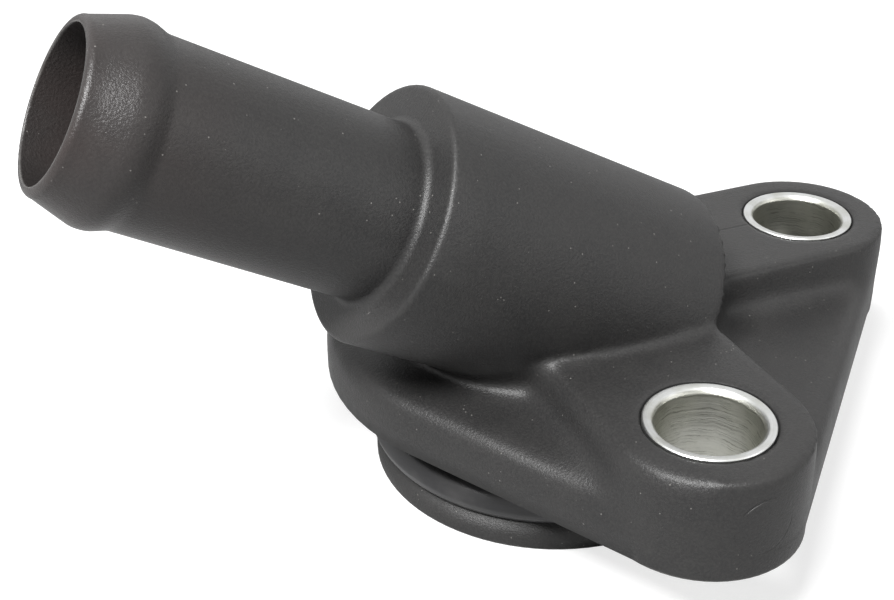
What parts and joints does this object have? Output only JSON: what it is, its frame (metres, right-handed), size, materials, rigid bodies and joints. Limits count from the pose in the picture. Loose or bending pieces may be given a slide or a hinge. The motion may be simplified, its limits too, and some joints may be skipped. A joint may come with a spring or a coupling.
{
  "type": "coolant outlet pipe",
  "caption": "Moulded engine coolant outlet elbow: sealed spigot under a two-bolt flange with metal sleeves, and a slanted boss that carries a beaded hose tube.",
  "frame": {"origin": "on the spigot's axis, in the mounting face", "axes": "+Z away from the engine; the hose tube leans towards -X; the front bolt lies on -Y and the rear bolt on +X"},
  "size_m": [0.0853, 0.0596, 0.0529],
  "materials": {
    "moulding": "satin, fine grain",
    "sleeve_metal": "bright zinc plate",
    "seal_rubber": "smooth"
  },
  "bodies": {
    "root": {"pipe_body": "moulding", "front_sleeve": "sleeve_metal", "rear_sleeve": "sleeve_metal", "seal_ring": "seal_rubber"}
  },
  "joints": []
}
